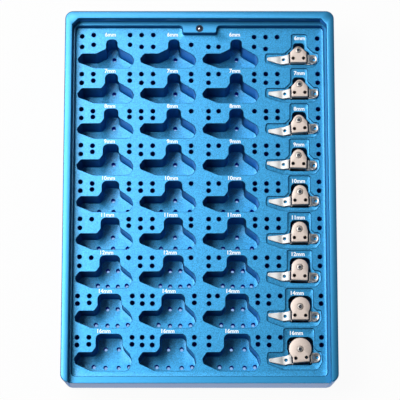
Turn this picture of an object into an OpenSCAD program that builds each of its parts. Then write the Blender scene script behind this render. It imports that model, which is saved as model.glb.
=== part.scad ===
// Instrument tray: a milled block with a rim on three sides and an open front for a slide-in lid.
// Three columns of pockets and one column of recesses serve nine sizes. Each recess holds an eared spacer.
// Millimetres. The underside is z = 0, the open front faces -Y and +X is to the right.

/* [Tray] */
// Outer width of the block
tray_w = 185; // [183:1:200]
// Outer length of the block, front to back
tray_l = 255.5; // [255:0.5:275]
// Radius of the upright outer corners
corner_r = 5.5; // [3:0.5:6.5]
// Height of the rim
rim_h = 46.5; // [44:0.5:52]
// Height of the land that a lid slides on
land_h = 37.5; // [36.5:0.5:40]
// Height of the deck that the pockets open in
deck_h = 32; // [29:0.5:34]
// Thickness of the floor under the pockets
floor_t = 7; // [4:0.5:10]
// Width of the rim at the sides
side_rim = 5.2; // [4:0.1:5.4]
// Width of the rim at the back
back_rim = 5.5; // [4:0.1:6]
// Width of the land inside the side rims
side_land = 1.3; // [1:0.1:1.5]
// Width of the land inside the back rim
back_land = 2.5; // [1.5:0.1:3]
// Depth of the land along the open front
front_land = 4.7; // [4:0.1:6]
// Slanted cut across the rim's two inner back corners
rim_chamfer = 4; // [2:0.5:6]
// Height of the lid groove under the rim
groove_h = 3; // [2:0.5:4]
// Depth of the lid groove into the rim
groove_d = 1.5; // [1:0.1:2]

/* [Places] */
// Distance from each side of the deck to the nearest pocket
side_margin = 1.7; // [1.2:0.1:2.2]
// Distance from the back of the deck to the first pocket
row_start = 8.5; // [8:0.1:9.5]
// Distance from the front of the deck to the last pocket
row_end = 4.1; // [3.5:0.1:5]
// Reach of a pocket to the left of its column
toe_reach = 23.3; // [22.8:0.1:23.6]
// Reach of a pocket to the right of its column
heel_reach = 15.7; // [15:0.1:16.5]
// How much wider a pocket's head is than its size
head_play = 1.6; // [1:0.1:2.2]
// Depth of the recesses in the fourth column
recess_d = 1.2; // [1:0.1:1.6]
// Room around a spacer's foot in its well
well_play = 1.1; // [0.8:0.1:1.4]
// Room on each side of a spacer's head in its well
well_side = 0.8; // [0.6:0.05:1.1]
// Distance from a row's front edge to the middle of a well's head
well_back = 14.9; // [14.5:0.1:15.2]
// Diameter of the steam holes between the pockets
vent_d = 3; // [2.4:0.1:3.4]
// Diameter of the drain holes in the floors
drain_d = 3; // [2.4:0.1:3.4]

/* [Spacers] */
// Width of a spacer's foot
foot_w = 12; // [11:0.1:12.4]
// Distance from a spacer's screw to its front edge
foot_y = 9.2; // [8.8:0.1:9.5]
// How far the top plate stands back from the spacer's size
plate_in = 0.35; // [0.2:0.05:0.5]
// Thickness of the top plate
face_t = 2.4; // [1.8:0.1:3]
// Thickness of the ear plate
ear_t = 1.5; // [1:0.1:1.8]
// Length of the block under the ear plate
body_t = 14; // [8:0.5:15]
// Reach of the long ear from the screw
ear_long = 21.6; // [20:0.1:21.8]
// Reach of the short ear from the screw
ear_short = 12.8; // [12:0.1:13]
// Gap under a spacer at rest
seat_gap = 0.3; // [0.2:0.05:0.5]
// Diameter of the centre screw's head
screw_head = 4; // [3.6:0.1:4.2]
// Diameter of the two holes in a spacer's foot
foot_hole = 2.2; // [1.6:0.1:2.6]
// Diameter of the holes in the ears
ear_hole = 2.1; // [1.6:0.1:2.4]

/* [Detent] */
// Width of the boss at the back
boss_w = 23.5; // [20:0.5:26]
// Reach of the boss in front of the back land
boss_reach = 5.1; // [4.8:0.1:6]
// Distance from the boss's front edge to the plunger's axis
detent_in = 3.15; // [3.15:0.05:3.5]
// Diameter of the plunger sleeve
sleeve_d = 5.2; // [5:0.1:5.4]
// Diameter of the ball
ball_d = 3.4; // [3:0.1:3.5]
// How far the ball stands above the boss
ball_out = 0.5; // [0.3:0.05:0.55]
// Length of the sleeve
sleeve_l = 9; // [8:0.5:11]

/* [Hidden] */
sizes = [6, 7, 8, 9, 10, 11, 12, 14, 16];
// length of the pocket for each size
reach = [20.2, 20.8, 20.8, 21.6, 21.4, 21.8, 22.2, 23, 24.8];
// how far each spacer has turned in its well, as it was laid down
turn = [0.5, 1, 5, -1.5, 1.5, 0.5, -2.5, -0.5, 5];
// how far each spacer has slid to the right in its well
slip = [-0.2, 0.4, -0.3, -0.7, 0, -0.6, -0.6, -0.6, -0.9];
// how far each spacer has slid to the front in its well
lag = [0.8, 0.3, 0.8, 0, 0, 0, 0, 0, 0];
// how far the back hole of each inner steam hole line stands forward of its row's line
drop = [-1, 0, 1.4, 0.4, 1.2, 0.2, 0.6, 0, 0];
rows = len(sizes);
cols = 4;
arc_n = 4;
eps = 0.5;
half_w = tray_w / 2;
half_l = tray_l / 2;
rim_x = half_w - side_rim;
rim_y = half_l - back_rim;
deck_x = rim_x - side_land;
deck_back = rim_y - back_land;
deck_front = front_land - half_l;
boss_y = deck_back - boss_reach;
pocket_d = deck_h - floor_t;
seat_h = deck_h - recess_d + seat_gap;
face_h = seat_h + ear_t;
top_h = face_h + face_t;
sink_d = screw_head + 0.4;
sink_h = 1.1;
shank_d = 2;
foot_row = foot_y - 3.3;
foot_gap = 7.2;
neck_y = 1.5;
eye_y = 6.4;
play = 0.15;
bore_d = ball_d + 0.6;
lip_r = ball_d / 2 - 0.1;
// height of the sleeve's lip above the ball's centre, where the ball comes within its play of the lip
lip_up = sqrt(pow(ball_d / 2 + play, 2) - pow(lip_r, 2));
ball_h = land_h + ball_out - ball_d / 2;
wire_d = 0.4;
coil_d = bore_d - 1.2;
coils = 6;

// the columns share the deck's width, and the rows its length
col_pitch = (2 * (deck_x - side_margin) - toe_reach - heel_reach) / (cols - 1);
col_shift = (toe_reach - heel_reach) / 2;
row_gap = (deck_back - deck_front - row_start - row_end - total(rows)) / (rows - 1);

// x of column c
function col_x(c) = col_shift + (c - (cols - 1) / 2) * col_pitch;
// sum of the first n pocket lengths
function total(n) = n == 0 ? 0 : reach[n - 1] + total(n - 1);
// y of the front edge of the pockets in row k
function row_y(k) = deck_back - row_start - total(k + 1) - k * row_gap;
// y of the screw of the spacer in row k, from the row's front edge
function screw_y(k) = 12 + 0.15 * sizes[k];
// how far the recess of row k leans to the right behind its spacer
function lean(k) = 0.2 * (8.5 - sizes[k]);
// name of a node of the spacer in row k
function tag(part, k) = str("spacer_", part, sizes[k] < 10 ? "_0" : "_", sizes[k]);

function unit(v) = v / norm(v);
// points of the arc that rounds the corner b of the path a, b, c to radius r, or to the largest that fits
function corner(a, b, c, r) =
    let (u = unit(a - b), v = unit(c - b))
    u * v < -0.9999 ? [b] : let (
        h = acos(u * v) / 2,
        q = min(r, 0.48 * min(norm(a - b), norm(c - b)) * tan(h)),
        m = b + unit(u + v) * q / sin(h),
        s = b + u * q / tan(h) - m,
        e = b + v * q / tan(h) - m,
        from = atan2(s.y, s.x),
        by = (atan2(e.y, e.x) - from + 540) % 360 - 180
    )
    [for (i = [0:arc_n]) m + q * [cos(from + by * i / arc_n), sin(from + by * i / arc_n)]];
// a closed outline from corners [x, y, radius]
function rounded(p) =
    let (n = len(p), at = [for (c = p) [c.x, c.y]])
    [for (i = [0:n - 1]) each corner(at[(i + n - 1) % n], at[i], at[(i + 1) % n], p[i][2])];

// boot-shaped pocket of row k, from its column and its front edge
function pocket(k) =
    let (h = reach[k], a = h / 2, w = (sizes[k] + head_play) / 2, slope = k == 0 ? 7 : 2.5)
    rounded([
        [-toe_reach, 0.33 * h, 1.5],
        [-toe_reach + 0.6, 0.2 * h, 1.5],
        [-12, 0, 8],
        [heel_reach - 3, 0, 3.5],
        [heel_reach, 0.24 * h, 3.5],
        [heel_reach - 1.8, a - 1.3, 3],
        [w, a + 4.5, 3],
        [w, h, 3.4],
        [-w, h, 3.4],
        [-w, a + 3.5, 2],
        [-w - slope, a, 2],
        [-toe_reach + 2.8, a, 1.5]
    ]);
// shallow recess of row k, which also takes in the size mark behind the spacer
function recess(k) =
    let (
        h = reach[k],
        a = h / 2,
        w = sizes[k] / 2 + 2.4,
        left = lean(k) - w,
        right = lean(k) + w,
        slope = max(1.2, 7.5 - sizes[k] / 2)
    )
    rounded([
        [-toe_reach + 0.1, 0.33 * h, 1.5],
        [-toe_reach + 0.4, 0.2 * h, 1.5],
        [-12, 0.7, 6],
        [heel_reach - 5, 0.7, 3.5],
        [heel_reach - 1.7, 0.24 * h, 3.5],
        [heel_reach - 2.2, a + 0.7, 2.5],
        [right + max(2, slope), a + 0.7, 1.5],
        [right, a + 0.7 + max(2, slope), 1.5],
        [right, h + row_gap - 0.4, 1.5],
        [left, h + row_gap - 0.4, 1.5],
        [left, a + slope, 2],
        [left - slope, a, 2],
        [-toe_reach + 0.8, a, 1.2]
    ]);
// well of row k under its spacer: a head with round shoulders over a wider foot
function well(k) =
    let (
        x = lean(k) / 2,
        y = screw_y(k),
        w = sizes[k] / 2 + well_side,
        back = sizes[k] / 2 + well_back,
        f = max(foot_w / 2 + well_play, sizes[k] / 2),
        front = y - foot_y - well_play
    )
    rounded([
        [x + w, back, 3.4],
        [x - w, back, 3.4],
        [x - w, y + 1, 1],
        [x - f, y - 1, 1],
        [x - f, front, 1.5],
        [x + f, front, 1.5],
        [x + f, y - 1, 1],
        [x + w, y + 1, 1]
    ]);
// head disc of size s run into a foot, grown by g all round
function face(s, g) =
    let (
        r = s / 2 + g,
        w = foot_w / 2 + g,
        reach_n = norm([w, neck_y]),
        joined = r < reach_n,
        from = joined ? acos(r / reach_n) - atan2(neck_y, w) : -acos(w / r),
        n = 20
    )
    concat(
        [for (i = [0:n]) r * [cos(from + (180 - 2 * from) * i / n), sin(from + (180 - 2 * from) * i / n)]],
        joined ? [[-w, -neck_y]] : [],
        [[-w, -foot_y - g], [w, -foot_y - g]],
        joined ? [[w, -neck_y]] : []
    );

module block(h) {
    linear_extrude(h) polygon(rounded([
        [-half_w, -half_l, corner_r],
        [half_w, -half_l, corner_r],
        [half_w, half_l, corner_r],
        [-half_w, half_l, corner_r]
    ]));
}

// room for the lid between the rims, grown by g into them
module lid_way(g, h) {
    x = rim_x + g;
    y = rim_y + g;
    translate([0, 0, land_h]) linear_extrude(h) polygon([
        [-x, -half_l - 1],
        [x, -half_l - 1],
        [x, y - rim_chamfer],
        [x - rim_chamfer, y],
        [rim_chamfer - x, y],
        [-x, y - rim_chamfer]
    ]);
}

// sunk deck, with the boss left standing at the land's height
module deck() {
    b = boss_w / 2;
    translate([0, 0, deck_h]) linear_extrude(land_h - deck_h + eps) polygon(rounded([
        [-deck_x, deck_front, 3],
        [deck_x, deck_front, 3],
        [deck_x, deck_back, 3],
        [b, deck_back, 2.5],
        [b, boss_y, 1.5],
        [-b, boss_y, 1.5],
        [-b, deck_back, 2.5],
        [-deck_x, deck_back, 3]
    ]));
}

// steam hole lines: column, offset from it, offset in the large rows, lift of the front hole, back and front row flags
vent_lines = [
    [0, -20.6, -21.6, 0, "111111111", "111111111"],
    [0, -12.6, -13.6, 1.5, "111111111", "111110011"],
    [0, 12.7, 15.5, 1.5, "111111111", "111111011"],
    [0, 20.7, 22.3, 0, "111111111", "111111111"],
    [0, 28.8, 29.1, 0, "111111111", "111111111"],
    [1, 12, 14.3, 1.5, "011111111", "110101011"],
    [1, 24, 24.2, 0, "011111111", "111111111"],
    [1, 31, 30, 0, "011111110", "100000000"],
    [2, 12.5, 14, 1.5, "111111111", "110111011"],
    [2, 20.5, 21.5, 0, "111111111", "111111111"],
    [2, 28.5, 29.2, 0, "111111111", "011111100"],
    [3, 13.2, 13.6, 0, "111111111", "111111111"]
];

module vents() {
    for (v = vent_lines) {
        for (k = [0:rows - 1]) {
            large = sizes[k] > 12;
            first = k > 0 ? 0 : v[0] < 2 ? 1 : -0.5;
            x = col_x(v[0]) + (large ? v[2] : v[1]);
            y = row_y(k) + reach[k] / 2 + 4 + first;
            step = k == 0 ? 7.5 : 6.2;
            edge = v[1] < -20 || v[0] == cols - 1;
            lift = large ? max(1, v[3]) : v[3];
            if (v[4][k] == "1") vent(x, y + step - (edge ? 0 : drop[k]));
            if (v[5][k] == "1") vent(x, y + min(lift, 2.1 - drop[k]));
        }
    }
}

module vent(x, y) {
    translate([x, y, -1]) cylinder(d = vent_d, h = deck_h + 2, $fn = 24);
}

module drain(x, y) {
    translate([x, y, -1]) cylinder(d = drain_d, h = floor_t + 1 + eps, $fn = 24);
}

// drain holes in the floor of one pocket of row k: more of them in the larger sizes
module drains(k) {
    s = sizes[k];
    side = s > 14 ? 4.5 : 3.5;
    if (s < 12) drain(0.7, 12.4);
    if (s > 9 && s < 12) {
        for (x = [-9, 1, 11]) drain(x, 4.6);
    }
    if (s > 11) {
        for (x = [1 - side, 1 + side]) {
            drain(x, 0.69 * reach[k]);
            drain(x, 4.4);
        }
        for (x = [-0.8, 0.74]) drain(1 + x * (4.5 + 0.7 * s), 5);
    }
}

module at_place(c, k) {
    translate([col_x(c), row_y(k), 0]) children();
}

// the frame of the spacer in row k: its screw axis, turned as it lies
module at_spacer(k) {
    at_place(cols - 1, k) translate([slip[k], screw_y(k) - lag[k], 0]) rotate(turn[k]) children();
}

module tray_block() {
    color("deepskyblue") difference() {
        block(rim_h);
        lid_way(0, rim_h);
        lid_way(groove_d, groove_h);
        deck();
        for (k = [0:rows - 1]) {
            for (c = [0:cols - 2]) at_place(c, k) {
                translate([0, 0, floor_t]) linear_extrude(pocket_d + eps) polygon(pocket(k));
                drains(k);
            }
            at_place(cols - 1, k) {
                translate([0, 0, deck_h - recess_d]) linear_extrude(recess_d + eps) polygon(recess(k));
                translate([0, 0, floor_t]) linear_extrude(pocket_d) polygon(well(k));
                drain(0, screw_y(k) - 3);
            }
        }
        vents();
        at_detent() translate([0, 0, land_h - sleeve_l])
            cylinder(d = sleeve_d, h = sleeve_l + 1, $fn = 48);
    }
}

module spacer_face(k) {
    s = sizes[k];
    color("tan") at_spacer(k) translate([0, 0, face_h]) difference() {
        linear_extrude(face_t) polygon(face(s, -plate_in));
        translate([0, 0, -1]) cylinder(d = shank_d, h = face_t + 2, $fn = 32);
        translate([0, 0, face_t - sink_h]) cylinder(d = sink_d, h = sink_h + 1, $fn = 32);
        foot_holes(face_t);
    }
}

module foot_holes(h) {
    for (x = [-foot_gap / 2, foot_gap / 2])
        translate([x, -foot_row, -1]) cylinder(d = foot_hole, h = h + 2, $fn = 32);
}

// strip of the ear plate, with the long ear to the left
module ear_strip() {
    f = foot_y - 0.1;
    e = foot_y + 0.5;
    w = foot_w / 2;
    polygon(rounded([
        [-ear_long, -4.4, 0.9],
        [-ear_long + 0.2, -6.6, 1],
        [-12, -e, 8],
        [-w, -e, 0.4],
        [-w + 0.6, -f, 0.4],
        [w - 0.6, -f, 0.4],
        [w, -e, 0.4],
        [ear_short, -e, 3],
        [ear_short, -3.2, 2.6],
        [w + 2.5, -3.1, 3],
        [w, -2.4, 0.3],
        [-w, -2.1, 0.3],
        [-w - 4, -3.6, 6]
    ]));
}

module spacer_ears(k) {
    s = sizes[k];
    color("silver") at_spacer(k) translate([0, 0, seat_h]) difference() {
        linear_extrude(ear_t) union() {
            ear_strip();
            polygon(face(s, -plate_in - 0.3));
        }
        translate([0, 0, -1]) cylinder(d = shank_d, h = ear_t + 2, $fn = 32);
        foot_holes(ear_t);
        for (x = [-foot_w / 2 - 4.2, foot_w / 2 + 4.7])
            translate([x, -eye_y, -1]) cylinder(d = ear_hole, h = ear_t + 2, $fn = 32);
    }
}

module spacer_body(k) {
    s = sizes[k];
    color("gray") at_spacer(k) translate([0, 0, seat_h - body_t]) difference() {
        linear_extrude(body_t) polygon(face(s, -1));
        translate([0, 0, body_t - 6]) cylinder(d = shank_d, h = 7, $fn = 32);
        foot_holes(body_t);
    }
}

module spacer_screw(k) {
    color("lightgray") at_spacer(k) translate([0, 0, top_h - sink_h]) difference() {
        union() {
            cylinder(d = screw_head, h = sink_h - 0.1, $fn = 32);
            translate([0, 0, sink_h - face_t - ear_t - 5]) cylinder(d = shank_d - 0.1, h = face_t + ear_t + 4, $fn = 32);
        }
        translate([0, 0, 0.3]) cylinder(d = 2.2, h = sink_h, $fn = 6);
    }
}

module at_detent() {
    translate([0, boss_y + detent_in, 0]) children();
}

module plunger_sleeve() {
    base = land_h - sleeve_l;
    color("dimgray") at_detent() rotate_extrude($fn = 48) polygon([
        [0, base],
        [sleeve_d / 2, base],
        [sleeve_d / 2, land_h],
        [lip_r, land_h],
        [lip_r, ball_h + lip_up],
        [bore_d / 2, ball_h + lip_up - 0.3],
        [bore_d / 2, base + 0.8],
        [0, base + 0.8]
    ]);
}

module plunger_ball() {
    color("white") at_detent() translate([0, 0, ball_h]) sphere(d = ball_d, $fn = 48);
}

// compression spring between the sleeve's floor and the ball
module plunger_spring() {
    base = land_h - sleeve_l + 0.8;
    h = ball_h - ball_d / 2 - base - 0.1;
    color("darkgray") at_detent() translate([0, 0, base + wire_d / 2])
        linear_extrude(h - wire_d, twist = -360 * coils, slices = 16 * coils)
            translate([coil_d / 2, 0]) circle(d = wire_d, $fn = 8);
}

tray_block();
plunger_sleeve();
plunger_spring();
plunger_ball();
for (k = [0:rows - 1]) {
    spacer_face(k);
    spacer_ears(k);
    spacer_body(k);
    spacer_screw(k);
}
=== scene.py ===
"""Looks of a blue anodised instrument tray with eared spacers in nine sizes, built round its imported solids.

Outlines and heights are in millimetres, as in the part's source, and meshes are scaled to metres.
The underside is z = 0, the open front faces -Y and +X is to the right.
"""

import math

import bmesh
import bpy
import numpy as np
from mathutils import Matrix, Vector
from mathutils.geometry import delaunay_2d_cdt


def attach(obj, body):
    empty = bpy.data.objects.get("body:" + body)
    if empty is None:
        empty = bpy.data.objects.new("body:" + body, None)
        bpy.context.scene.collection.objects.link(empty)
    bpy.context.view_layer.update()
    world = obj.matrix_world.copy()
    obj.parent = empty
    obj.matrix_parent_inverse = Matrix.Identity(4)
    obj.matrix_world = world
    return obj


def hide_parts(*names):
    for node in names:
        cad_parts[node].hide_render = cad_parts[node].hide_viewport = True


MM = 0.001

# tray
TRAY_W, TRAY_L, CORNER_R = 185.0, 255.5, 5.5
RIM_H, LAND_H, DECK_H, FLOOR_T = 46.5, 37.5, 32.0, 7.0
SIDE_RIM, BACK_RIM = 5.2, 5.5
SIDE_LAND, BACK_LAND, FRONT_LAND = 1.3, 2.5, 4.7
RIM_CHAMFER, GROOVE_H, GROOVE_D = 4.0, 3.0, 1.5
SIDE_MARGIN, ROW_START, ROW_END = 1.7, 8.5, 4.1
TOE_REACH, HEEL_REACH, HEAD_PLAY = 23.3, 15.7, 1.6
RECESS_D, WELL_PLAY, WELL_SIDE, WELL_BACK = 1.2, 1.1, 0.8, 14.9
VENT_D = DRAIN_D = 3.0
WELL_DRAIN_Y = -3.0
# rows from back to front: printed size, length of the pocket, and how far its back steam holes drop
SIZES = (6, 7, 8, 9, 10, 11, 12, 14, 16)
REACH = (20.2, 20.8, 20.8, 21.6, 21.4, 21.8, 22.2, 23.0, 24.8)
DROP = (-1, 0, 1.4, 0.4, 1.2, 0.2, 0.6, 0, 0)
ROWS, COLS = len(SIZES), 4
# steam hole lines: column, offset from it, offset in the large rows, lift of the front hole,
# then which rows have a back hole, and which a front hole
VENT_LINES = (
    (0, -20.6, -21.6, 0, "111111111", "111111111"),
    (0, -12.6, -13.6, 1.5, "111111111", "111110011"),
    (0, 12.7, 15.5, 1.5, "111111111", "111111011"),
    (0, 20.7, 22.3, 0, "111111111", "111111111"),
    (0, 28.8, 29.1, 0, "111111111", "111111111"),
    (1, 12, 14.3, 1.5, "011111111", "110101011"),
    (1, 24, 24.2, 0, "011111111", "111111111"),
    (1, 31, 30, 0, "011111110", "100000000"),
    (2, 12.5, 14, 1.5, "111111111", "110111011"),
    (2, 20.5, 21.5, 0, "111111111", "111111111"),
    (2, 28.5, 29.2, 0, "111111111", "011111100"),
    (3, 13.2, 13.6, 0, "111111111", "111111111"),
)
# steam holes: place behind the middle of a row, step to the back hole and most lift of the front one
VENT_Y, VENT_STEP, MOST_LIFT = 4, 6.2, 2.1
# the step and the columns' shifts in the first row, and the least lift in rows past the large size
FIRST_STEP, FIRST_SHIFT = 7.5, (1, 1, -0.5, -0.5)
LARGE, LARGE_LIFT = 12, 1
# pocket drains: in the head and along the foot of small pockets, in pairs and at the ends of large ones
HEAD_DRAIN, FOOT_DRAINS = (0.7, 12.4), ((-9, 4.6), (1, 4.6), (11, 4.6))
PAIR_X, PAIR_SIDE, LAST_PAIR_SIDE = 1, 3.5, 4.5
PAIR_BACK, PAIR_FRONT = 0.69, 4.4
END_DRAINS, END_DRAIN_Y = (-0.8, 0.74), 5

# detent
BOSS_W, BOSS_REACH, DETENT_IN = 23.5, 5.1, 3.15
SLEEVE_D, SLEEVE_L = 5.2, 9.0

# spacers, with the turn, sideways slip and forward lag that each has in its well
TURN = (0.5, 1, 5, -1.5, 1.5, 0.5, -2.5, -0.5, 5)
SLIP = (-0.2, 0.4, -0.3, -0.7, 0, -0.6, -0.6, -0.6, -0.9)
LAG = (0.8, 0.3, 0.8, 0, 0, 0, 0, 0, 0)
FOOT_W, FOOT_Y, NECK_Y, PLATE_IN, FACE_T, EAR_T = 12.0, 9.2, 1.5, 0.35, 2.4, 1.5
EAR_LONG, EAR_SHORT, SEAT_GAP = 21.6, 12.8, 0.3
SCREW_HEAD, SINK_H, FOOT_HOLE, EAR_HOLE = 4.0, 1.1, 2.2, 2.1
FOOT_GAP, EAR_HOLE_Y = 7.2, -6.4
EAR_HOLE_X = (-FOOT_W / 2 - 4.2, FOOT_W / 2 + 4.7)
FOOT_ROW = FOOT_Y - 3.3
SINK_D, SHANK_D, SOCKET_D = SCREW_HEAD + 0.4, 2.0, 2.2
SCREW_IN, SHANK_PLAY, PIN_D = 0.1, 0.1, 0.5
LAYER_IN, LAYER_GAP = 0.3, 0.02
# painted shade in the screws' sockets: how far its dark sheet sits in, and its play
SOCKET_SHADE_IN, SOCKET_SHADE_PLAY = 0.3, 0.06
# painted shade in the slots beside the blocks: play, ends, foot and inset of its dark strips
STRIP_PLAY, STRIP_FRONT, STRIP_BACK = 0.1, 0.6, -2.9
STRIP_FOOT, STRIP_IN = 0.05, 0.25

# shape of the ears: slot beside the block, ramps up to it, drop of the tip, dish round the right eye
EAR_GAP, SLOT_DEPTH, SLOT_IN, EAR_BASE = 0.6, 1.3, 0.1, 0.3
LEFT_RAMP, RIGHT_RAMP, TIP_DROP, DISH_RISE = 0.5, 0.15, 0.35, 0.4
LEFT_RAMP_L, RIGHT_RAMP_L = 6.0, 2.6
TIP_START, TIP_L = 7.0, 8.0
DISH_START, DISH_R, DISH_L = 1, 1.1, 1.9
LEFT_STEP, RIGHT_STEP, CROSS_STEP = 0.45, 0.35, 0.3
GRID_START, BRIM_CLEAR, EYE_CLEAR = 1, 0.12, 0.25

# edges and rounds of the finished metal
EDGE, RIM_EDGE, FOOT_EDGE, FILLET = 0.3, 0.7, 0.6, 0.5
WELL_EDGE, VENT_EDGE, DRAIN_TAPER = 0.2, 0.25, 0.45
FACE_EDGE, EAR_EDGE, PLATE_FOOT = 0.3, 0.2, 0.1
SINK_EDGE, HOLE_EDGE, EYE_EDGE = 0.06, 0.15, 0.12
SCREW_EDGE, SOCKET_EDGE, SHANK_TIP = 0.25, 0.1, 0.3
SHARP_ANGLE = 32
# steps in a rounded corner and in one of a spacer's foot, and a round's largest share of a side
ROUND_STEPS, FOOT_STEPS, ROUND_SHARE = 8, 5, 0.48

# size marks: width with one digit and with two, height over the tray, letter size and how bold it is
MARK_W, MARK_Z = (7.5, 8.8), 0.03
MARK_SIZE, MARK_BOLD = 3.2, 0.09
# their places: left of a column, further left in the last row, behind the first row, and in the recesses
ONE_DIGIT = 9
MARK_LEFT, MARK_SHIFT, FIRST_MARK_Y = 1, 2.5, 3.7
RECESS_MARK_X, RECESS_MARK_SHIFT = 1, 0.42
MARK_LIFT = (1.5, 0.8, 0.4, 0.1, 0.3, 0.5, 1.2, 0.9, 0.9)

# colour of the anodising, its tint at a glancing angle, and its grain's spread on the rim and in the tray
ANODISED = (0.038, 0.31, 0.61)
EDGE_TINT = (0.02, 0.16, 0.4)
GRAIN = (0.06, 0.35)

# stage: the floor, its part under the tray with a bluish painted glow, the world's light, and the camera with
# its aim on the rim
FLOOR_HALF, FLOOR_GAP, UNDER_IN = 6.0, 0.2, 2.5
FLOOR_GLOW, FLOOR_MIRROR = 0.95, 1.0
UNDER_GLOW_COLOR, UNDER_GLOW, UNDER_MIRROR = (0.33, 0.58, 1.0), 0.8, 0.3
WORLD_LEVEL = 0.08
SENSOR, LENS = 36, 162
CAMERA_TILT, CAMERA_RANGE = math.radians(10.6965), 1.21595
CAMERA_AIM = (0.31, -4.894, RIM_H)

HALF_W, HALF_L = TRAY_W / 2, TRAY_L / 2
RIM_X, RIM_Y = HALF_W - SIDE_RIM, HALF_L - BACK_RIM
DECK_X, DECK_BACK = RIM_X - SIDE_LAND, RIM_Y - BACK_LAND
DECK_FRONT = FRONT_LAND - HALF_L
BOSS_Y = DECK_BACK - BOSS_REACH
COL_PITCH = (2 * (DECK_X - SIDE_MARGIN) - TOE_REACH - HEEL_REACH) / (COLS - 1)
COL_SHIFT = (TOE_REACH - HEEL_REACH) / 2
ROW_GAP = (DECK_BACK - DECK_FRONT - ROW_START - ROW_END - sum(REACH)) / (ROWS - 1)
COL_X = [COL_SHIFT + (col - (COLS - 1) / 2) * COL_PITCH for col in range(COLS)]
ROW_Y = [DECK_BACK - ROW_START - sum(REACH[: row + 1]) - row * ROW_GAP for row in range(ROWS)]
SCREW_Y = [12 + 0.15 * size for size in SIZES]
LEAN = [0.2 * (8.5 - size) for size in SIZES]
RECESS_H = DECK_H - RECESS_D
SEAT_H = RECESS_H + SEAT_GAP
FACE_H = SEAT_H + EAR_T
TOP_H = FACE_H + FACE_T
SCREW_END = SEAT_H - 5
SOCKET_H = TOP_H - SINK_H + 0.3

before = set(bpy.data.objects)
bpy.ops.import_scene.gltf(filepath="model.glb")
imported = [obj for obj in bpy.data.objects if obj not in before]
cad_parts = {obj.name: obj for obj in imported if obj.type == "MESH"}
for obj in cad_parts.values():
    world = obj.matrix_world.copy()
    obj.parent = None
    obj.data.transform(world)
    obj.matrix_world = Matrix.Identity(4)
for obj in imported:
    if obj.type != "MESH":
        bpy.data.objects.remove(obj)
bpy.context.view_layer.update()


# outlines


def unit(v):
    """Vectors scaled to length 1."""
    return v / np.linalg.norm(v, axis=-1, keepdims=True)


def arcs(before, corner, after, radius, steps):
    """Arcs that round the corners of the paths before, corner, after to a radius, or to the most that fits.

    The centre lies radius / sin(half angle) along the bisector, and equal steps of angle join the points
    of touch.
    """
    u, v = unit(before - corner), unit(after - corner)
    half = np.arccos(np.clip(np.sum(u * v, -1), -1, 1)) / 2
    room = np.minimum(np.linalg.norm(before - corner, axis=-1), np.linalg.norm(after - corner, axis=-1))
    r = np.minimum(radius, ROUND_SHARE * room * np.tan(half))
    centre = corner + unit(u + v) * (r / np.sin(half))[:, None]
    first = corner + u * (r / np.tan(half))[:, None] - centre
    last = corner + v * (r / np.tan(half))[:, None] - centre
    start = np.arctan2(first[:, 1], first[:, 0])
    sweep = (np.arctan2(last[:, 1], last[:, 0]) - start + 3 * np.pi) % (2 * np.pi) - np.pi
    angle = start[:, None] + sweep[:, None] * np.linspace(0, 1, steps + 1)
    return centre[:, None] + r[:, None, None] * np.stack([np.cos(angle), np.sin(angle)], -1)


def rounded(corners):
    """A closed anticlockwise outline from corners (x, y, radius)."""
    given = np.array(corners, float)
    at = given[:, :2]
    return arcs(np.roll(at, 1, 0), at, np.roll(at, -1, 0), given[:, 2], ROUND_STEPS).reshape(-1, 2)


def circle(x, y, diameter, count=24):
    """A circle as points at equal angles."""
    angle = np.linspace(0, 2 * np.pi, count, endpoint=False)
    return np.stack([x + diameter / 2 * np.cos(angle), y + diameter / 2 * np.sin(angle)], -1)


def grown(path, by):
    """A closed anticlockwise path moved outwards by one value or by one for each point.

    Each point goes along its mitre, the sum of its two edge normals over 1 plus their dot product.
    """
    edge = unit(np.roll(path, -1, 0) - path)
    ahead = np.stack([edge[:, 1], -edge[:, 0]], -1)
    behind = np.roll(ahead, 1, 0)
    mitre = (ahead + behind) / (1 + np.sum(ahead * behind, -1))[:, None]
    return path + mitre * np.reshape(by, (-1, 1))


def within(points, path):
    """Which points lie inside a closed path: a line to their right crosses it an odd number of times."""
    start, end = path, np.roll(path, -1, 0)
    x, y = points[:, :1], points[:, 1:]
    spans = (start[:, 1] > y) != (end[:, 1] > y)
    rise = np.where(end[:, 1] == start[:, 1], 1, end[:, 1] - start[:, 1])
    cross = start[:, 0] + (y - start[:, 1]) * (end[:, 0] - start[:, 0]) / rise
    return (spans & (x < cross)).sum(1) % 2 == 1


def pocket(row):
    """Boot-shaped pocket of a row, from its column and its front edge."""
    reach, half = REACH[row], (SIZES[row] + HEAD_PLAY) / 2
    middle, slope = reach / 2, 7 if row == 0 else 2.5
    return rounded(
        [
            (-TOE_REACH, 0.33 * reach, 1.5),
            (-TOE_REACH + 0.6, 0.2 * reach, 1.5),
            (-12, 0, 8),
            (HEEL_REACH - 3, 0, 3.5),
            (HEEL_REACH, 0.24 * reach, 3.5),
            (HEEL_REACH - 1.8, middle - 1.3, 3),
            (half, middle + 4.5, 3),
            (half, reach, 3.4),
            (-half, reach, 3.4),
            (-half, middle + 3.5, 2),
            (-half - slope, middle, 2),
            (-TOE_REACH + 2.8, middle, 1.5),
        ]
    )


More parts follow.
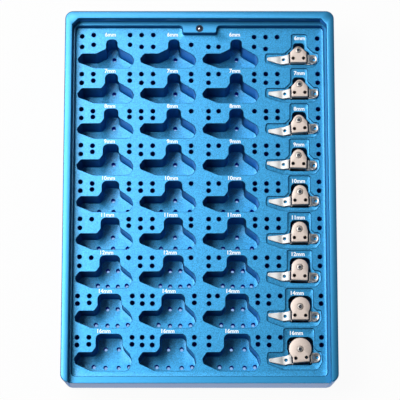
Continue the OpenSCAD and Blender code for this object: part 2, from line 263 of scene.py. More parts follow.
def recess(row):
    """Shallow recess of a row, which also takes in the size mark behind the spacer."""
    reach, half = REACH[row], SIZES[row] / 2 + 2.4
    left, right, back = LEAN[row] - half, LEAN[row] + half, reach + ROW_GAP - 0.4
    middle, slope = reach / 2, max(1.2, 7.5 - SIZES[row] / 2)
    heel_slope = max(2, slope)
    return rounded(
        [
            (-TOE_REACH + 0.1, 0.33 * reach, 1.5),
            (-TOE_REACH + 0.4, 0.2 * reach, 1.5),
            (-12, 0.7, 6),
            (HEEL_REACH - 5, 0.7, 3.5),
            (HEEL_REACH - 1.7, 0.24 * reach, 3.5),
            (HEEL_REACH - 2.2, middle + 0.7, 2.5),
            (right + heel_slope, middle + 0.7, 1.5),
            (right, middle + 0.7 + heel_slope, 1.5),
            (right, back, 1.5),
            (left, back, 1.5),
            (left, middle + slope, 2),
            (left - slope, middle, 2),
            (-TOE_REACH + 0.8, middle, 1.2),
        ]
    )


def well(row):
    """Well of a row under its spacer: a head with round shoulders over a wider foot."""
    x, y = LEAN[row] / 2, SCREW_Y[row]
    head, back = SIZES[row] / 2 + WELL_SIDE, SIZES[row] / 2 + WELL_BACK
    foot, front = max(FOOT_W / 2 + WELL_PLAY, SIZES[row] / 2), y - FOOT_Y - WELL_PLAY
    return rounded(
        [
            (x + head, back, head - 0.1),
            (x - head, back, head - 0.1),
            (x - head, y + 0.3, 1),
            (x - foot, y - 1.8, 1),
            (x - foot, front, 1.5),
            (x + foot, front, 1.5),
            (x + foot, y - 1.8, 1),
            (x + head, y + 0.3, 1),
        ]
    )


def face(size, by, radius, steps):
    """Head disc of a size run into a foot, grown all round, with the foot's corners rounded to a radius.

    A disc narrower than the foot is joined to it by tangents, and a wider one by the foot's straight sides.
    """
    disc, half = size / 2 + by, FOOT_W / 2 + by
    reach = math.hypot(half, NECK_Y)
    joined = disc < reach
    start = math.acos(disc / reach) - math.atan2(NECK_Y, half) if joined else -math.acos(half / disc)
    angle = np.linspace(start, math.pi - start, steps + 1)
    head = disc * np.stack([np.cos(angle), np.sin(angle)], -1)
    side = np.array([(half, -NECK_Y)] if joined else head[:1])
    foot = np.array([(-half, -FOOT_Y - by), (half, -FOOT_Y - by)])
    ring = np.concatenate([side * (-1, 1), foot, side])
    foot = arcs(ring[:-2], ring[1:-1], ring[2:], radius, FOOT_STEPS).reshape(-1, 2)
    return np.concatenate([head, side * (-1, 1), foot, side] if joined else [head, foot])


def ear_strip():
    """Strip of the ear plate from its screw, with the long ear to the left and a notch under the block."""
    front, edge, half = FOOT_Y - 0.1, FOOT_Y + 0.5, FOOT_W / 2
    return rounded(
        [
            (-EAR_LONG, -4.4, 0.9),
            (-EAR_LONG + 0.2, -6.6, 1),
            (-12, -edge, 8),
            (-half, -edge, 0.4),
            (-half + 0.6, -front, 0.4),
            (half - 0.6, -front, 0.4),
            (half, -edge, 0.4),
            (EAR_SHORT, -edge, 3),
            (EAR_SHORT, -3.2, 2.6),
            (half + 2.5, -3.1, 3),
            (half, -2.4, 0.3),
            (-half, -2.1, 0.3),
            (-half - 4, -3.6, 6),
        ]
    )


def vents():
    """Centres of the steam holes, which stand in short pairs between the pockets."""
    at = []
    for line in VENT_LINES:
        col, offset, large_offset, lift, back, front = line
        at_side = line in (VENT_LINES[0], VENT_LINES[-1])
        for row in range(ROWS):
            large = SIZES[row] > LARGE
            shift = 0 if row else FIRST_SHIFT[col]
            x = COL_X[col] + (large_offset if large else offset)
            y = ROW_Y[row] + REACH[row] / 2 + VENT_Y + shift
            step = VENT_STEP if row else FIRST_STEP
            rise = max(LARGE_LIFT, lift) if large else lift
            if back[row] == "1":
                at.append((x, y + step - (0 if at_side else DROP[row])))
            if front[row] == "1":
                at.append((x, y + min(rise, MOST_LIFT - DROP[row])))
    return at


def drains(row):
    """Centres of the drain holes in a pocket of a row: more of them in the larger sizes."""
    size = SIZES[row]
    if size < 10:
        return [HEAD_DRAIN]
    if size < 12:
        return [HEAD_DRAIN, *FOOT_DRAINS]
    side = LAST_PAIR_SIDE if size == SIZES[-1] else PAIR_SIDE
    half_foot = 4.5 + 0.7 * size
    pairs = [(PAIR_X + x, y) for x in (-side, side) for y in (PAIR_BACK * REACH[row], PAIR_FRONT)]
    return pairs + [(PAIR_X + share * half_foot, END_DRAIN_Y) for share in END_DRAINS]


# surfaces


def edge_round(radius, top, steps):
    """Profile (offset, height) up an outer wall and over its rounded top edge."""
    angles = np.linspace(np.pi / 2, 0, steps + 1)
    return [(radius * (math.sin(a) - 1), top - radius * (1 - math.cos(a))) for a in angles]


def edge_cut(width, top):
    """Profile (offset, height) over a chamfer and into an opening."""
    return [(width, top), (0, top - width)]


def fillet(radius, floor):
    """Profile (offset, height) from the wall of an opening into its floor, round a fillet."""
    angles = np.linspace(0, np.pi / 2, 4)
    return [(radius * (math.cos(a) - 1), floor + radius * (1 - math.sin(a))) for a in angles]


class Shell:
    """Gathers the surfaces of one piece, in millimetres, and closes them into a mesh."""

    def __init__(self):
        self.points, self.faces, self.finish, self.count = [], [], [], 0

    def add(self, points, faces, finish=0):
        """Points with the faces between them, which all take the same one of the piece's materials."""
        self.faces += (np.asarray(faces) + self.count).tolist()
        self.finish += [finish] * len(faces)
        self.points.append(points)
        self.count += len(points)

    def wall(self, path, profile, finish=0):
        """A profile of (offset, height) steps carried round a closed path, as rings joined by quads."""
        rings = [np.column_stack([grown(path, by), np.full(len(path), z)]) for by, z in profile]
        count = len(path)
        ring = np.arange(len(rings) - 1)[:, None] * count
        here = np.arange(count)
        after = (here + 1) % count
        quads = np.stack([ring + here, ring + after, ring + count + after, ring + count + here], -1)
        self.add(np.concatenate(rings), quads.reshape(-1, 4), finish)

    def flat(self, z, *loops, inside=()):
        """A flat face at height z, inside the first loop and outside the others, with spare points in it.

        The loops are edges of a Delaunay triangulation. Three points of one anticlockwise loop, in order,
        turn left in a triangle inside that loop and right in one outside it. This tells the holes from
        the face.
        """
        points = np.concatenate([*loops, np.reshape(inside, (-1, 2))])
        size = [len(loop) for loop in loops]
        first = np.repeat(np.cumsum([0, *size[:-1]]), size)
        here = np.arange(len(first))
        after = np.where(here + 1 == first + np.repeat(size, size), first, here + 1)
        corners = [Vector(point) for point in points.tolist()]
        made = delaunay_2d_cdt(corners, np.stack([here, after], -1).tolist(), [], 0, 1e-6)
        assert len(made[0]) == len(points), f"the loops of the flat face at z = {z} cross"
        triangles = np.sort(np.array(made[2]), -1)
        spare = np.full(len(points) - len(first), -1)
        loop = np.append(np.repeat(np.arange(len(size)), size), spare)[triangles]
        a, b, c = np.moveaxis(points[triangles], 1, 0)
        left = np.cross(b - a, c - a) > 0
        same = (loop[:, 0] == loop[:, 1]) & (loop[:, 1] == loop[:, 2]) & (loop[:, 0] >= 0)
        keep = ~same | np.where(loop[:, 0] == 0, left, ~left)
        self.add(np.column_stack([points, np.full(len(points), z)]), triangles[keep])

    def prism(self, low, high, outline, *holes):
        """A closed slab between two heights, with holes through it."""
        for path in (outline, *holes):
            self.wall(path, [(0, low), (0, high)])
        for z in (low, high):
            self.flat(z, outline, *holes)

    def mesh(self, name, move=None):
        """The closed mesh in metres, its shared points merged and its faces turned outwards."""
        points = np.concatenate(self.points)
        if move:
            points = move(points)
        mesh = bpy.data.meshes.new(name)
        mesh.from_pydata((points * MM).tolist(), [], self.faces)
        mesh.polygons.foreach_set("material_index", self.finish)
        bm = bmesh.new()
        bm.from_mesh(mesh)
        bmesh.ops.remove_doubles(bm, verts=bm.verts, dist=2e-6)
        bmesh.ops.dissolve_degenerate(bm, edges=bm.edges, dist=1e-7)
        bmesh.ops.recalc_face_normals(bm, faces=bm.faces)
        bm.to_mesh(mesh)
        bm.free()
        mesh.shade_smooth()
        mesh.set_sharp_from_angle(angle=math.radians(SHARP_ANGLE))
        return mesh


def piece(name, mesh, body, slot, material, *nodes):
    """A finished piece that rides on a body and stands for the named solids."""
    obj = bpy.data.objects.new(name, mesh)
    bpy.context.scene.collection.objects.link(obj)
    obj.data.materials.append(material)
    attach(obj, body)
    if nodes:
        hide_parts(*nodes)
    return obj


# materials


def new_material(name):
    """A material, its node tree and the inputs of its main shader."""
    material = bpy.data.materials.new(name)
    material.use_nodes = True
    return material, material.node_tree, material.node_tree.nodes["Principled BSDF"].inputs


def node(tree, kind, **values):
    """A new node with values on its inputs, whose names have _ for a space."""
    made = tree.nodes.new("ShaderNode" + kind)
    for name, value in values.items():
        made.inputs[name.replace("_", " ")].default_value = value
    return made


def product(tree, first, second):
    """Output of a node that multiplies two values, kept between 0 and 1. The second may be a number."""
    made = node(tree, "Math")
    made.operation = "MULTIPLY"
    made.use_clamp = True
    tree.links.new(first, made.inputs[0])
    if isinstance(second, (int, float)):
        made.inputs[1].default_value = second
    else:
        tree.links.new(second, made.inputs[1])
    return made.outputs[0]


def noise(tree, scale):
    """Output of a noise over the piece's own coordinates."""
    made = node(tree, "TexNoise", Scale=scale, Detail=2)
    tree.links.new(node(tree, "TexCoord").outputs["Object"], made.inputs["Vector"])
    return made.outputs["Fac"]


def shades(tree, source, color, spread):
    """Output of a colour ramp from a darker to a lighter shade of a colour, each a share away from it."""
    ramp = node(tree, "ValToRGB")
    for stop, position, share in zip(ramp.color_ramp.elements, (0.3, 0.7), (1 - spread, 1 + spread)):
        stop.position = position
        stop.color = (*[min(1, share * part) for part in color], 1)
    tree.links.new(source, ramp.inputs["Fac"])
    return ramp.outputs["Color"]


def surface(tree, shader, roughness, source, bump_source, strength, depth):
    """Roughness between two values and a fine bump, each after a noise."""
    rough = node(tree, "MapRange", To_Min=roughness[0], To_Max=roughness[1])
    bump = node(tree, "Bump", Strength=strength, Distance=depth)
    tree.links.new(source, rough.inputs["Value"])
    tree.links.new(bump_source, bump.inputs["Height"])
    tree.links.new(rough.outputs["Result"], shader["Roughness"])
    tree.links.new(bump.outputs["Normal"], shader["Normal"])


def anodised_blue():
    """Bead-blasted aluminium under blue anodising: a satin metal with a fine grain.

    The grain is coarser on what lies level below the land: the share of coarse grain is the depth below it
    times the upward part of the normal.
    """
    material, tree, shader = new_material("anodised_blue")
    grain = noise(tree, 1800)
    fine, coarse = [shades(tree, grain, ANODISED, spread) for spread in GRAIN]
    at, normal = node(tree, "SeparateXYZ"), node(tree, "SeparateXYZ")
    depth = node(tree, "MapRange", From_Min=LAND_H * MM, From_Max=DECK_H * MM)
    tint = node(tree, "MixRGB")
    tree.links.new(node(tree, "TexCoord").outputs["Object"], at.inputs["Vector"])
    tree.links.new(node(tree, "NewGeometry").outputs["Normal"], normal.inputs["Vector"])
    tree.links.new(at.outputs["Z"], depth.inputs["Value"])
    tree.links.new(product(tree, depth.outputs["Result"], normal.outputs["Z"]), tint.inputs["Fac"])
    tree.links.new(fine, tint.inputs["Color1"])
    tree.links.new(coarse, tint.inputs["Color2"])
    tree.links.new(tint.outputs["Color"], shader["Base Color"])
    surface(tree, shader, (0.42, 0.48), noise(tree, 30), grain, strength=0.12, depth=0.00005)
    shader["Metallic"].default_value = 1.0
    shader["Specular Tint"].default_value = (*EDGE_TINT, 1)
    shader["Coat Weight"].default_value = 0.6
    shader["Coat IOR"].default_value = 1.5
    shader["Coat Roughness"].default_value = 0.26
    return material


def steel(name, color, spread, roughness, scale, **values):
    """A metal whose colour and roughness vary with a fine noise, with further values on its shader."""
    material, tree, shader = new_material(name)
    grain = noise(tree, scale)
    tree.links.new(shades(tree, grain, color, spread), shader["Base Color"])
    surface(tree, shader, (roughness * 0.85, roughness * 1.15), grain, grain, strength=0.1, depth=0.00002)
    shader["Metallic"].default_value = 1.0
    for socket, value in values.items():
        shader[socket.replace("_", " ")].default_value = value
    return material


BLUE = anodised_blue()
MATTE = steel("spacer_matte", (0.72, 0.62, 0.56), spread=0.06, roughness=0.5, scale=1500)
POLISHED = steel("spacer_polished", (0.48, 0.485, 0.485), spread=0.03, roughness=0.4, scale=900)
SATIN = steel("satin_steel", (0.62, 0.58, 0.54), spread=0.06, roughness=0.32, scale=1500)
# dark steel of the detent's sleeve, also the colour of the dark sheets that paint shade into the spacers'
# sockets and slots
DARK_STEEL_AND_SHADE = steel("dark_steel", (0.035, 0.045, 0.07), spread=0.15, roughness=0.45, scale=1200)
BALL = steel("polished_ball", (0.93, 0.86, 0.88), spread=0.02, roughness=0.3, scale=900)
# walls of the drilled holes: a darker, deeper blue than the anodising, painted shade
HOLE_SHADE = steel(
    "drilled_hole_shade",
    (0.01, 0.12, 0.6),
    spread=0.1,
    roughness=0.6,
    scale=900,
    Specular_Tint=(0.01, 0.2, 1, 1),
)
# white paint of the size marks, with a painted glow that makes the letters brighter than the lamps alone
# would
GLOWING_PAINT = steel(
    "white_paint_glowing",
    (0.85, 0.87, 0.88),
    spread=0.03,
    roughness=0.55,
    scale=1200,
    Metallic=0.0,
    Emission_Color=(1, 1, 1, 1),
    Emission_Strength=0.34,
)
# second part of a node's name, and its material
FINISHES = {
    "block": BLUE,
    "face": MATTE,
    "ears": POLISHED,
    "body": MATTE,
    "screw": SATIN,
    "sleeve": DARK_STEEL_AND_SHADE,
    "spring": SATIN,
    "ball": BALL,
}
# place on the tray of the drilled holes' material, which paints shade on their walls
HOLE_SHADE_INDEX = 1


# tray


def corner_arc(right, back, start, end, steps):
    """Part of the block's corner round, between two angles in degrees. The corner's signs are given."""
    angle = np.radians(np.linspace(start, end, steps + 1))
    centre = np.array([right * (HALF_W - CORNER_R), back * (HALF_L - CORNER_R)])
    return centre + CORNER_R * np.stack([np.cos(angle), np.sin(angle)], -1)


def rail_angle(by):
    """Degrees from straight ahead at which the lid way's side, grown by a width, meets a front round."""
    return math.degrees(math.asin((RIM_X + by - HALF_W + CORNER_R) / CORNER_R))


def lid_path(by):
    """The lid way's wall from left front to right front, grown into the rim, without its front ends."""
    x, y = RIM_X + by, RIM_Y + by
    side, back = (x, y - RIM_CHAMFER), (x - RIM_CHAMFER, y)
    return np.array([(-side[0], side[1]), (-back[0], back[1]), back, side])


def block(shell):
    """Outside, rim, lid groove and land, as three stacked prisms whose outlines share their outer points.

    The rails' front ends lie on the corner rounds, at the angles where the groove and the lid way cut them.
    Returns the outlines of the foot and of the land.
    """
    groove, way = rail_angle(GROOVE_D), rail_angle(0)
    right_end = corner_arc(1, -1, way - 90, groove - 90, 1)
    left_end = right_end[::-1] * (-1, 1)
    outside = np.concatenate(
        [
            corner_arc(1, -1, groove - 90, 0, 10),
            corner_arc(1, 1, 0, 90, 12),
            corner_arc(-1, 1, 90, 180, 12),
            corner_arc(-1, -1, 180, 270 - groove, 10),
        ]
    )
    front = np.array([(CORNER_R - HALF_W, -HALF_L), (HALF_W - CORNER_R, -HALF_L)])
    low = np.concatenate([front, right_end[:-1], outside, left_end[1:]])
    middle = np.concatenate([outside, lid_path(GROOVE_D)])
    high = np.concatenate([right_end[:-1], outside, left_end[1:], lid_path(0)])
    over = LAND_H + GROOVE_H

    ends = len(right_end) - 1
    brim = np.full(len(low), -EDGE)
    brim[len(front) + ends :][: len(outside)] = 0
    shell.wall(low, [(-FOOT_EDGE, 0), (0, FOOT_EDGE), (0, LAND_H - EDGE), (brim, LAND_H)])
    shell.wall(middle, [(0, LAND_H), (0, over)])
    shell.wall(high, [(0, over), *edge_round(RIM_EDGE, RIM_H, 3)])
    shell.flat(RIM_H, grown(high, -RIM_EDGE))
    shell.flat(over, np.concatenate([right_end, lid_path(GROOVE_D)[::-1], left_end, lid_path(0)]))

    edge = grown(low, brim)
    land = [edge[: len(front) + ends], outside[:1], lid_path(GROOVE_D)[::-1], outside[-1:], edge[-ends:]]
    return low, np.concatenate(land)


def deck_outline():
    """Edge of the deck, which the boss of the detent breaks at the back."""
    half = BOSS_W / 2
    return rounded(
        [
            (-DECK_X, DECK_FRONT, 3),
            (DECK_X, DECK_FRONT, 3),
            (DECK_X, DECK_BACK, 3),
            (half, DECK_BACK, 2.5),
            (half, BOSS_Y, 1.5),
            (-half, BOSS_Y, 1.5),
            (-half, DECK_BACK, 2.5),
            (-DECK_X, DECK_BACK, 3),
        ]
    )


def tray_mesh():
    """The whole block: every pocket, recess, well and hole is a profile carried round its outline."""
    shell = Shell()
    low, land = block(shell)
    deck = deck_outline()
    bore = circle(0, BOSS_Y + DETENT_IN, SLEEVE_D, 48)
    shell.flat(LAND_H, land, grown(deck, EDGE), bore)
    shell.wall(bore, [(0, LAND_H), (0, LAND_H - SLEEVE_L)])
    shell.flat(LAND_H - SLEEVE_L, bore)
    shell.wall(deck, [*edge_cut(EDGE, LAND_H), *fillet(FILLET, DECK_H)])
    deck_loops = [grown(deck, -FILLET)]
    under_loops = [grown(low, -FOOT_EDGE)]

    for row in range(ROWS):
        for x in COL_X[:-1]:
            outline = pocket(row) + (x, ROW_Y[row])
            holes = [circle(x + dx, ROW_Y[row] + dy, DRAIN_D) for dx, dy in drains(row)]
            shell.wall(outline, [*edge_cut(EDGE, DECK_H), *fillet(FILLET, FLOOR_T)])
            shell.flat(FLOOR_T, grown(outline, -FILLET), *holes)
            for hole in holes:
                shell.wall(hole, [(0, FLOOR_T), (-DRAIN_TAPER, 0)], HOLE_SHADE_INDEX)
            deck_loops.append(grown(outline, EDGE))
            under_loops += [grown(hole, -DRAIN_TAPER) for hole in holes]

        x, y = COL_X[-1], ROW_Y[row]
        outline, sunk = recess(row) + (x, y), well(row) + (x, y)
        hole = circle(x, y + SCREW_Y[row] + WELL_DRAIN_Y, DRAIN_D)
        shell.wall(outline, [*edge_cut(EDGE, DECK_H), *fillet(FILLET / 2, RECESS_H)])
        shell.flat(RECESS_H, grown(outline, -FILLET / 2), grown(sunk, WELL_EDGE))
        shell.wall(sunk, [*edge_cut(WELL_EDGE, RECESS_H), *fillet(FILLET, FLOOR_T)])
        shell.flat(FLOOR_T, grown(sunk, -FILLET), hole)
        shell.wall(hole, [(0, FLOOR_T), (0, 0)], HOLE_SHADE_INDEX)
        deck_loops.append(grown(outline, EDGE))
        under_loops.append(hole)

    for x, y in vents():
        hole = circle(x, y, VENT_D)
        shell.wall(hole, edge_cut(VENT_EDGE, DECK_H))
        shell.wall(hole, [(0, DECK_H - VENT_EDGE), (0, 0)], HOLE_SHADE_INDEX)
        deck_loops.append(grown(hole, VENT_EDGE))
        under_loops.append(hole)
    shell.flat(DECK_H, *deck_loops)
    shell.flat(0, *under_loops)
    return shell.mesh("tray")


# spacers


def placed(row):
    """The move that sets points from a spacer's own screw to its place in a row."""
    angle = math.radians(TURN[row])
    cos, sin = math.cos(angle), math.sin(angle)
    turn = np.array([[cos, sin, 0], [-sin, cos, 0], [0, 0, 1]])
    at = np.array([COL_X[-1] + SLIP[row], ROW_Y[row] + SCREW_Y[row] - LAG[row], 0])
    return lambda points: points @ turn + at


def foot_holes():
    """The two holes in the foot of a spacer, which go through its face and its ear plate."""
    return [circle(x, -FOOT_ROW, FOOT_HOLE, 20) for x in (-FOOT_GAP / 2, FOOT_GAP / 2)]


def face_shell(row):
    """Face plate of a spacer: a flat plate with a rounded brim, a sunk screw seat and two foot holes."""
    shell = Shell()
    outline = face(SIZES[row], -PLATE_IN, 0.6, 48)
    sink, shank = circle(0, 0, SINK_D, 32), circle(0, 0, SHANK_D, 32)
    seat = TOP_H - SINK_H
    shell.wall(outline, [(-PLATE_FOOT, FACE_H), (0, FACE_H + PLATE_FOOT), *edge_round(FACE_EDGE, TOP_H, 4)])
    shell.wall(sink, [*edge_cut(SINK_EDGE, TOP_H), (0, seat)])
    shell.flat(seat, sink, shank)
    shell.wall(shank, [(0, seat), (0, FACE_H)])
    for hole in foot_holes():
        shell.wall(hole, [*edge_cut(HOLE_EDGE, TOP_H), (0, FACE_H)])
    openings = [grown(sink, SINK_EDGE), *[grown(hole, HOLE_EDGE) for hole in foot_holes()]]
    shell.flat(TOP_H, grown(outline, -FACE_EDGE), *openings)
    shell.flat(FACE_H, grown(outline, -PLATE_FOOT), shank, *foot_holes())
    return shell


def smooth(share):
    """A step from 0 to 1 with level ends, 3 t^2 - 2 t^3."""
    t = np.clip(share, 0, 1)
    return t * t * (3 - 2 * t)


def ear_rise(x, y):
    """Rise of the ears over the plate: slots and ramps by the block, a dished right end, a low left tip."""
    start = FOOT_W / 2 + EAR_GAP
    left, right = -start - x, x - start
    slot = (left < 0) & (right < 0) & (np.abs(x) > FOOT_W / 2 - PLATE_IN - SLOT_IN)
    from_eye = np.hypot(x - EAR_HOLE_X[1], y - EAR_HOLE_Y)
    tip = TIP_DROP * smooth((left - TIP_START) / TIP_L)
    rise = np.where(left >= 0, LEFT_RAMP * (1 - smooth(left / LEFT_RAMP_L)) - tip, 0.0)
    rise = rise + np.where(right >= 0, RIGHT_RAMP * (1 - smooth(right / RIGHT_RAMP_L)), 0.0)
    rise = rise + np.where(right >= DISH_START, DISH_RISE * smooth((from_eye - DISH_R) / DISH_L), 0.0)
    return np.where(slot, -SLOT_DEPTH, rise)


def lifted(points):
    """Points of the ear plate moved up by its rise, in full at its top and not at all near its underside."""
    share = np.clip((points[:, 2] - SEAT_H - EAR_BASE) / (EAR_T - EAR_BASE), 0, 1)
    rise = share * ear_rise(points[:, 0], points[:, 1])
    return np.column_stack([points[:, :2], points[:, 2] + rise])


def ear_grid(top, eyes):
    """Points between an ear plate's brim and its eyes, close enough to carry the ramps, slots and dish."""
    half = FOOT_W / 2
    left = np.arange(-EAR_LONG, -half - GRID_START, LEFT_STEP)
    right = np.arange(half + GRID_START, EAR_SHORT, RIGHT_STEP)
    slot = half + np.array([EAR_GAP, EAR_GAP - 0.03, -PLATE_IN - 0.05, -PLATE_IN - 0.15])
    x = np.concatenate([left, right, slot, -slot])
    grid = np.stack(np.meshgrid(x, np.arange(-10, -1.9, CROSS_STEP), indexing="ij"), -1).reshape(-1, 2)
    clear = within(grid, grown(top, -BRIM_CLEAR))
    for eye in eyes:
        clear &= np.hypot(*(grid - eye.mean(0)).T) > EAR_HOLE / 2 + EYE_CLEAR
    return grid[clear]


def ears_shell(row):
    """Ear plate of a spacer: the strip with its two ears, and the layer of it under the block."""
    shell = Shell()
    outline = ear_strip()
    holes = foot_holes()
    eyes = [circle(x, EAR_HOLE_Y, EAR_HOLE, 20) for x in EAR_HOLE_X]
    shell.wall(outline, [(-PLATE_FOOT, SEAT_H), (0, SEAT_H + PLATE_FOOT), *edge_round(EAR_EDGE, FACE_H, 3)])
    for hole in holes:
        shell.wall(hole, [(0, FACE_H), (0, SEAT_H)])
    for eye in eyes:
        shell.wall(eye, [*edge_cut(EYE_EDGE, FACE_H), (0, SEAT_H)])
    top = grown(outline, -EAR_EDGE)
    brims = [grown(eye, EYE_EDGE) for eye in eyes]
    shell.flat(FACE_H, top, *holes, *brims, inside=ear_grid(top, brims))
    shell.flat(SEAT_H, grown(outline, -PLATE_FOOT), *holes, *eyes)
    layer = face(SIZES[row], -PLATE_IN - LAYER_IN, 0.5, 36)
    shell.prism(SEAT_H + LAYER_GAP, FACE_H - LAYER_GAP, layer, circle(0, 0, SHANK_D, 32), *holes)
    shell.points = [lifted(points) for points in shell.points]
    return shell


def screw_shell():
    """Socket screw: a flat head with a rounded brim and a hexagon socket, and a plain shank."""
    shell = Shell()
    top, seat = TOP_H - SCREW_IN, TOP_H - SINK_H
    head, shank = circle(0, 0, SCREW_HEAD, 40), circle(0, 0, SHANK_D - SHANK_PLAY, 40)
    socket = circle(0, 0, SOCKET_D, 6)
    shell.wall(head, [(0, seat), *edge_round(SCREW_EDGE, top, 3)])
    shell.flat(top, grown(head, -SCREW_EDGE), grown(socket, SOCKET_EDGE))
    shell.wall(socket, [*edge_cut(SOCKET_EDGE, top), (0, SOCKET_H)])
    shell.flat(SOCKET_H, socket)
    shell.flat(seat, head, shank)
    shell.wall(shank, [(0, seat), (0, SCREW_END + SHANK_TIP), (-SHANK_TIP, SCREW_END)])
    shell.flat(SCREW_END, grown(shank, -SHANK_TIP))
    return shell


def socket_shade_shell():
    """Painted shade in a screw's socket: a dark sheet on the socket's floor, with a hole in the middle where
    the screw shows as a bright pin.
    """
    shell = Shell()
    shade_sheet, pin = circle(0, 0, SOCKET_D - SOCKET_SHADE_PLAY, 6), circle(0, 0, PIN_D, 12)
    shell.prism(SOCKET_H + LAYER_GAP, TOP_H - SOCKET_SHADE_IN, shade_sheet, pin)
    return shell


def slot_shade_shell():
    """Painted shade in the slots between a spacer's block and its ears: two dark strips that fill them."""
    shell = Shell()
    inner, outer = FOOT_W / 2 - PLATE_IN + STRIP_PLAY, FOOT_W / 2 + EAR_GAP - STRIP_PLAY
    front, back = -FOOT_Y + STRIP_FRONT, STRIP_BACK
    for left, right in ((-outer, -inner), (inner, outer)):
        strip = np.array([(left, front), (right, front), (right, back), (left, back)])
        shell.prism(FACE_H - SLOT_DEPTH + STRIP_FOOT, FACE_H - STRIP_IN, strip)
    return shell


def spacer(row):
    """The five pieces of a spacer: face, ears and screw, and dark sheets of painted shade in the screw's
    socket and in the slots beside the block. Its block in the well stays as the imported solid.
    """
    size = f"{SIZES[row]:02d}"
    shells = (
        ("face", face_shell(row), "spacer_matte", MATTE, True),
        ("ears", ears_shell(row), "spacer_polished", POLISHED, True),
        ("screw", screw_shell(), "steel", SATIN, True),
        ("socket", socket_shade_shell(), "dark_steel", DARK_STEEL_AND_SHADE, False),
        ("slot_shade", slot_shade_shell(), "dark_steel", DARK_STEEL_AND_SHADE, False),
    )
    for kind, shell, slot, material, in_solids in shells:
        name = f"spacer_{kind}_{size}_shape"
        nodes = [f"spacer_{kind}_{size}"] if in_solids else []
        piece(name, shell.mesh(name, placed(row)), "spacer_" + size, slot, material, *nodes)


# size marks


def label(name, words, x, y, z, width):
    """A size mark: flat letters in a plain face, as a mesh laid on the tray and brought to a width."""
    curve = bpy.data.curves.new(name, "FONT")
    curve.body = words
    curve.size = MARK_SIZE * MM
    curve.offset = MARK_BOLD * MM
    curve.resolution_u = 3
    text = bpy.data.objects.new(name + "_text", curve)
    bpy.context.scene.collection.objects.link(text)
    bpy.context.view_layer.update()
    mesh = bpy.data.meshes.new_from_object(text.evaluated_get(bpy.context.evaluated_depsgraph_get()))
    bpy.data.objects.remove(text)
    bpy.data.curves.remove(curve)
    mesh.name = name
    at = np.empty(len(mesh.vertices) * 3)
    mesh.vertices.foreach_get("co", at)
    at = at.reshape(-1, 3)
    low, high = at.min(0), at.max(0)
    at = (at - (low + high) / 2) * (width * MM / (high - low)[0]) + np.array([x, y, z]) * MM
    mesh.vertices.foreach_set("co", at.ravel())
    mesh.update()
    piece(name, mesh, "tray", None, GLOWING_PAINT)


def size_marks(row):
    """The marks of a row: on the deck behind each pocket, and in the recess behind the spacer."""
    size = SIZES[row]
    words, width = f"{size}mm", MARK_W[size > ONE_DIGIT]
    edge = ROW_Y[row] + REACH[row]
    y = edge + (ROW_GAP / 2 if row else FIRST_MARK_Y)
    for col, x in enumerate(COL_X[:-1]):
        middle = x - MARK_LEFT - MARK_SHIFT * max(0, size - ONE_DIGIT) / (SIZES[-1] - ONE_DIGIT)
        label(f"size_mark_{size:02d}_{col + 1}", words, middle, y, DECK_H + MARK_Z, width)
    x = COL_X[-1] + RECESS_MARK_X - RECESS_MARK_SHIFT * (size - SIZES[0])
    label(f"size_mark_{size:02d}_{COLS}", words, x, edge + MARK_LIFT[row], RECESS_H + MARK_Z, width)


# stage


def area(name, place, size, power):
    """A flat lamp that faces straight down."""
    lamp = bpy.data.lights.new(name, "AREA")
    lamp.shape = "RECTANGLE"
    lamp.size, lamp.size_y = size
    lamp.energy = power
    obj = bpy.data.objects.new(name, lamp)
    obj.location = place
    bpy.context.scene.collection.objects.link(obj)


def floor_white(name, color, share, mirrored):
    """White table, with a share of plain colour for what the camera sees, and one for what metal mirrors.

    From below it is clear, so that the tray's underside can be seen.
    """
    material, tree, shader = new_material(name)
    shader["Base Color"].default_value = (0.9, 0.9, 0.9, 1)
    shader["Roughness"].default_value = 0.9
    path = node(tree, "LightPath").outputs
    both = node(tree, "Math")
    tree.links.new(product(tree, path["Is Camera Ray"], share), both.inputs[0])
    tree.links.new(product(tree, path["Is Glossy Ray"], mirrored), both.inputs[1])
    above, seen = node(tree, "MixShader"), node(tree, "MixShader")
    tree.links.new(both.outputs[0], above.inputs[0])
    tree.links.new(tree.nodes["Principled BSDF"].outputs[0], above.inputs[1])
    tree.links.new(node(tree, "Emission", Color=(*color, 1)).outputs[0], above.inputs[2])
    tree.links.new(node(tree, "NewGeometry").outputs["Backfacing"], seen.inputs[0])
    tree.links.new(above.outputs[0], seen.inputs[1])
    tree.links.new(node(tree, "BsdfTransparent").outputs[0], seen.inputs[2])
    tree.links.new(seen.outputs[0], tree.nodes["Material Output"].inputs["Surface"])
    return material


def add_camera(scene):
    """The camera, at the photograph's angle and distance."""
    camera = bpy.data.cameras.new("camera")
    camera.sensor_width, camera.lens = SENSOR, LENS
    camera.clip_end = 20
    obj = bpy.data.objects.new("camera", camera)
    back = np.array([0, -math.sin(CAMERA_TILT), math.cos(CAMERA_TILT)])
    obj.location = np.array(CAMERA_AIM) * MM + CAMERA_RANGE * back
    obj.rotation_euler = (CAMERA_TILT, 0, 0)
    scene.collection.objects.link(obj)
    scene.camera = obj


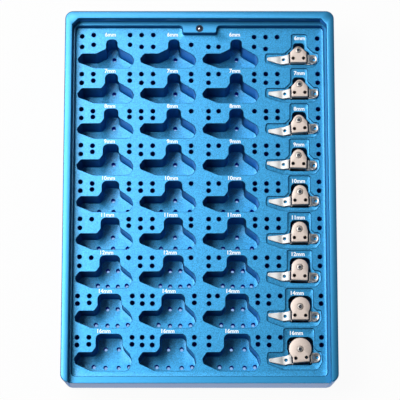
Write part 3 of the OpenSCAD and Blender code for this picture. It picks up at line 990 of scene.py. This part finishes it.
def add_floor(scene):
    """The floor as three by three faces. The middle one lies under the tray, shows through its drains and
    glows a bluish painted light, which the tray's underside mirrors as a painted reflection.
    """
    near_x, near_y = (HALF_W - UNDER_IN) * MM, (HALF_L - UNDER_IN) * MM
    x = (-FLOOR_HALF, -near_x, near_x, FLOOR_HALF)
    y = (-FLOOR_HALF, -near_y, near_y, FLOOR_HALF)
    corners = [(across, along, -FLOOR_GAP * MM) for along in y for across in x]
    width = len(x)
    first = [width * row + col for row in range(width - 1) for col in range(width - 1)]
    mesh = bpy.data.meshes.new("floor")
    mesh.from_pydata(corners, [], [(i, i + 1, i + width + 1, i + width) for i in first])
    mesh.materials.append(floor_white("floor_white", (1, 1, 1), FLOOR_GLOW, FLOOR_MIRROR))
    mesh.materials.append(floor_white("floor_under_glow", UNDER_GLOW_COLOR, UNDER_GLOW, UNDER_MIRROR))
    mesh.polygons[len(first) // 2].material_index = 1
    floor = bpy.data.objects.new("floor", mesh)
    scene.collection.objects.link(floor)


def add_light(scene):
    """Three soft lamps at the back and to the left, in a dim world that the camera sees as white."""
    world = bpy.data.worlds.new("studio")
    scene.world = world
    world.use_nodes = True
    tree = world.node_tree
    background = tree.nodes["Background"].inputs
    background["Color"].default_value = (1, 1, 1, 1)
    level = node(tree, "MapRange", To_Min=WORLD_LEVEL)
    tree.links.new(node(tree, "LightPath").outputs["Is Camera Ray"], level.inputs["Value"])
    tree.links.new(level.outputs["Result"], background["Strength"])
    area("back", (-0.34, 0.5, 1.3), (0.5, 0.7), 6.6)
    area("front", (-0.5, -0.05, 1.35), (0.4, 0.4), 3.9)
    area("left", (-0.75, 0.1, 1.35), (0.5, 0.6), 8.0)


# build

tray = piece("tray", tray_mesh(), "tray", "blue_anodised", BLUE, "tray_block")
tray.data.materials.append(HOLE_SHADE)
for row in range(ROWS):
    spacer(row)
for row in range(ROWS):
    size_marks(row)

for name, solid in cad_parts.items():
    solid.data.materials.clear()
    solid.data.materials.append(FINISHES[name.split("_")[1]])

bpy.context.scene.view_settings.view_transform = "Standard"
add_camera(bpy.context.scene)
add_floor(bpy.context.scene)
add_light(bpy.context.scene)

bpy.context.view_layer.update()
